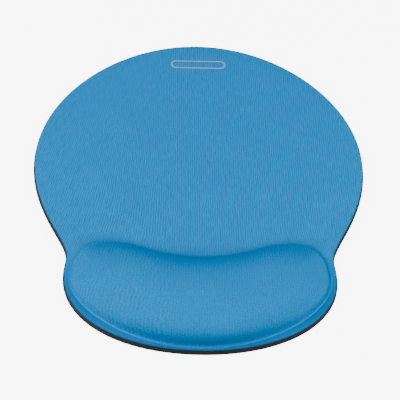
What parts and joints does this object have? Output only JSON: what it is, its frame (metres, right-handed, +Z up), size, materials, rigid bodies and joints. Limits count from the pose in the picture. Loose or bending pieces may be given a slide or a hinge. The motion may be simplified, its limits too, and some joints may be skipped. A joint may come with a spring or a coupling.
{
  "type": "mouse mat with wrist rest",
  "caption": "Mouse mat with an integral bean-shaped wrist cushion: stretch cloth moulded over a gel pouch on a soft base with a textured grip skin.",
  "frame": {"origin": "on the table under the middle of the mat, midway across and midway front to back", "axes": "+X to the user's right, +Y away from the user, towards the round head, +Z up from the table"},
  "size_m": [0.222, 0.2538, 0.02],
  "materials": {
    "stretch_cloth": "matt knitted stretch cloth, bright blue, with fine ribs and a faint sheen",
    "print": "thin matt transfer print, pale lilac grey",
    "bonding_film": "near-black heat-bonding film, satin at its cut edge",
    "pouch_skin": "milky translucent film",
    "gel": "clear soft gel with a blue tint",
    "base_foam": "charcoal soft foam rubber with fine open cells at its cut edge",
    "grip_rubber": "matt dark rubber skin with a fine raised grip pattern"
  },
  "bodies": {
    "root": {"printed_mark": "print", "cloth_cover": "stretch_cloth", "bonding_film": "bonding_film", "pouch_top_skin": "pouch_skin", "gel_core": "gel", "pouch_bottom_skin": "pouch_skin", "base_pad": "base_foam", "grip_skin": "grip_rubber"}
  },
  "joints": []
}
